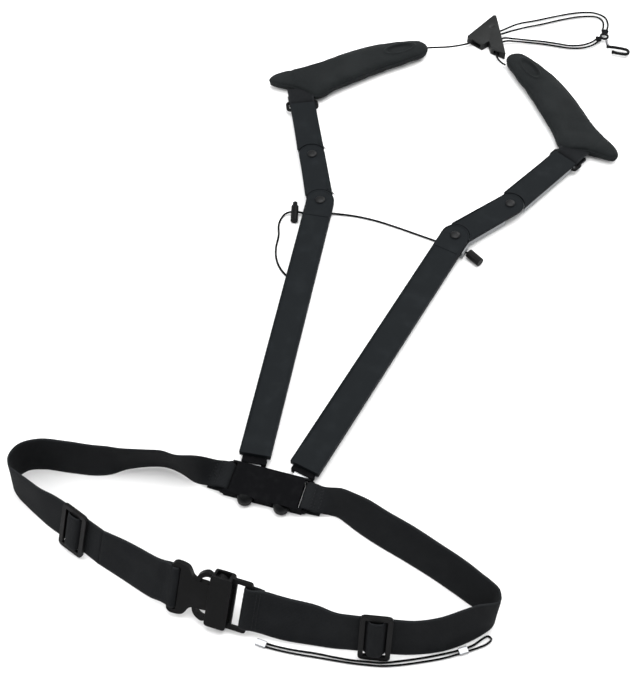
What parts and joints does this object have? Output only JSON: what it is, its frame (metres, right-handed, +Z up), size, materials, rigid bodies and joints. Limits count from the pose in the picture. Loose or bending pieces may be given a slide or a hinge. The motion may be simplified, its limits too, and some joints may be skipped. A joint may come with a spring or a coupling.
{
  "type": "saxophone body harness",
  "caption": "Body harness for holding a saxophone: hinged back bars and arms carry shoulder pads, a hook on cords hangs from a slider, and a webbing belt closes the waist.",
  "frame": {"origin": "on the underside of the lumbar panel, midway between the two pins that the back bars turn on", "axes": "+Y up the wearer's back from the belt to the shoulder pads, +X to the right as the harness lies seen from above, +Z up from the surface it lies on"},
  "size_m": [0.4335, 0.8037, 0.046],
  "materials": {
    "panel_fabric": "black brushed cloth over a stiff core",
    "sleeve_fabric": "black cloth sleeve",
    "webbing": "ribbed matte webbing",
    "pad_fabric": "smooth dark grey knit over foam",
    "cord": "braided black cord",
    "aluminium": "plain drawn strip",
    "cover_plastic": "matte black",
    "liner": "matte light grey",
    "moulded_plastic": "moulded, low sheen",
    "rivet": "black, low sheen",
    "satin_metal": "satin dark grey",
    "steel": "plain"
  },
  "bodies": {
    "frame": {"lumbar_panel": "panel_fabric", "panel_pin_left": "steel", "panel_pin_right": "steel", "panel_loop_left": "webbing", "panel_loop_right": "webbing", "belt_left_back": "webbing", "belt_left_front": "webbing", "belt_right_front": "webbing", "belt_right_back": "webbing", "buckle_female": "moulded_plastic", "belt_loop_female": "webbing", "front_cord_left": "cord", "front_cord_right": "cord", "hook_eye": "moulded_plastic", "hook_shank": "steel", "spare_cord": "cord", "crimp_left": "steel", "crimp_right": "steel"},
    "bar_left": {"bar_core_left": "aluminium", "bar_cover_left": "cover_plastic", "bar_sleeve_left": "sleeve_fabric", "elbow_rivet_left": "rivet", "rear_cord_tail": "cord", "lock_body": "moulded_plastic", "lock_spring": "steel"},
    "bar_right": {"bar_core_right": "aluminium", "bar_cover_right": "cover_plastic", "bar_sleeve_right": "sleeve_fabric", "elbow_rivet_right": "rivet", "cord_bracket": "liner", "barrel_stop": "moulded_plastic", "rear_cord_span": "cord"},
    "lower_link_left": {"lower_link_left_cover": "cover_plastic", "lower_link_left_liner": "liner", "shoulder_rivet_left": "rivet"},
    "lower_link_right": {"lower_link_right_cover": "cover_plastic", "lower_link_right_liner": "liner", "shoulder_rivet_right": "rivet"},
    "upper_link_left": {"upper_link_left_cover": "cover_plastic", "upper_link_left_liner": "liner", "strap_ring_left": "moulded_plastic"},
    "upper_link_right": {"upper_link_right_cover": "cover_plastic", "upper_link_right_liner": "liner", "strap_ring_right": "moulded_plastic"},
    "pad_left": {"pad_cushion_left": "pad_fabric", "pad_strap_left": "webbing"},
    "pad_right": {"pad_cushion_right": "pad_fabric", "pad_strap_right": "webbing"},
    "slider": {"slider_back": "satin_metal", "slider_front": "satin_metal"},
    "hook": {"hook_body": "moulded_plastic"},
    "lock_button": {"lock_plunger": "moulded_plastic"},
    "glide_left": {"tri_glide_left": "moulded_plastic", "tri_glide_left_web": "webbing"},
    "glide_right": {"tri_glide_right": "moulded_plastic", "tri_glide_right_web": "webbing"},
    "buckle_plug": {"buckle_male": "moulded_plastic", "belt_loop_male": "webbing"},
    "prong_upper": {"buckle_prong_upper": "moulded_plastic"},
    "prong_lower": {"buckle_prong_lower": "moulded_plastic"}
  },
  "joints": [
    {"name": "bar_left_swing", "type": "hinge", "parent": "frame", "child": "bar_left", "pos_m": [-0.0178, 0, 0.003], "axis": [0, 0, 1], "range_deg": [0, 2.4]},
    {"name": "bar_right_swing", "type": "hinge", "parent": "frame", "child": "bar_right", "pos_m": [0.0178, 0, 0.003], "axis": [0, 0, 1], "range_deg": [-2.4, 0]},
    {"name": "elbow_left", "type": "hinge", "parent": "bar_left", "child": "lower_link_left", "pos_m": [-0.04517, 0.31281, 0.006], "axis": [0, 0, 1], "range_deg": [-24, 0]},
    {"name": "shoulder_left", "type": "hinge", "parent": "lower_link_left", "child": "upper_link_left", "pos_m": [-0.07009, 0.36958, 0.006], "axis": [0, 0, 1], "range_deg": [0, 28.5], "deforming": ["pad_strap_left"]},
    {"name": "elbow_right", "type": "hinge", "parent": "bar_right", "child": "lower_link_right", "pos_m": [0.0911, 0.30532, 0.006], "axis": [0, 0, 1], "range_deg": [-3.6, 0]},
    {"name": "shoulder_right", "type": "hinge", "parent": "lower_link_right", "child": "upper_link_right", "pos_m": [0.13405, 0.35932, 0.006], "axis": [0, 0, 1], "range_deg": [0, 18], "deforming": ["pad_strap_right"]},
    {"name": "pad_left_tilt", "type": "hinge", "parent": "frame", "child": "pad_left", "pos_m": [-0.10287, 0.44321, 0.0058], "axis": [0.9135, 0.4067, 0], "range_deg": [0, 6]},
    {"name": "pad_right_tilt", "type": "hinge", "parent": "frame", "child": "pad_right", "pos_m": [0.17871, 0.44158, 0.0058], "axis": [0.8788, -0.4772, 0], "range_deg": [0, 6]},
    {"name": "slider_slide", "type": "slide", "parent": "frame", "child": "slider", "axis": [0, 1, 0], "range_m": [0, 0.005]},
    {"name": "hook_swivel", "type": "hinge", "parent": "frame", "child": "hook", "pos_m": [0.1922, 0.6227, 0.0042], "axis": [0.2873, -0.9578, 0], "range_deg": [0, 90]},
    {"name": "lock_press", "type": "slide", "parent": "bar_left", "child": "lock_button", "axis": [0.2419, -0.9703, 0], "range_m": [0, 0.0025], "stiffness_N_per_m": 300, "springref_m": -0.001, "deforming": ["lock_spring"]},
    {"name": "glide_left_slide", "type": "slide", "parent": "frame", "child": "glide_left", "axis": [0.9344, -0.3562, 0], "range_m": [-0.004, 0.004]},
    {"name": "glide_right_slide", "type": "slide", "parent": "frame", "child": "glide_right", "axis": [0.985, 0.1724, 0], "range_m": [-0.003, 0.003]},
    {"name": "buckle_pull", "type": "slide", "parent": "frame", "child": "buckle_plug", "axis": [-0.9995, 0.0306, 0], "range_m": [0, 0.007]},
    {"name": "prong_upper_squeeze", "type": "hinge", "parent": "buckle_plug", "child": "prong_upper", "pos_m": [-0.02238, -0.10009, 0.03813], "axis": [0.0257, 0.8383, -0.5446], "range_deg": [0, 22]},
    {"name": "prong_lower_squeeze", "type": "hinge", "parent": "buckle_plug", "child": "prong_lower", "pos_m": [-0.02298, -0.11969, 0.00794], "axis": [-0.0257, -0.8383, 0.5446], "range_deg": [0, 22]}
  ],
  "couplings": [
    {"joint": "elbow_left", "follows": "bar_left_swing", "ratio": -9.75},
    {"joint": "shoulder_left", "follows": "bar_left_swing", "ratio": 11.69},
    {"joint": "elbow_right", "follows": "bar_right_swing", "ratio": 1.39},
    {"joint": "shoulder_right", "follows": "bar_right_swing", "ratio": -7.39},
    {"joint": "prong_upper_squeeze", "follows": "buckle_pull", "rad_per_m": 47.1},
    {"joint": "prong_lower_squeeze", "follows": "buckle_pull", "rad_per_m": 47.1}
  ]
}
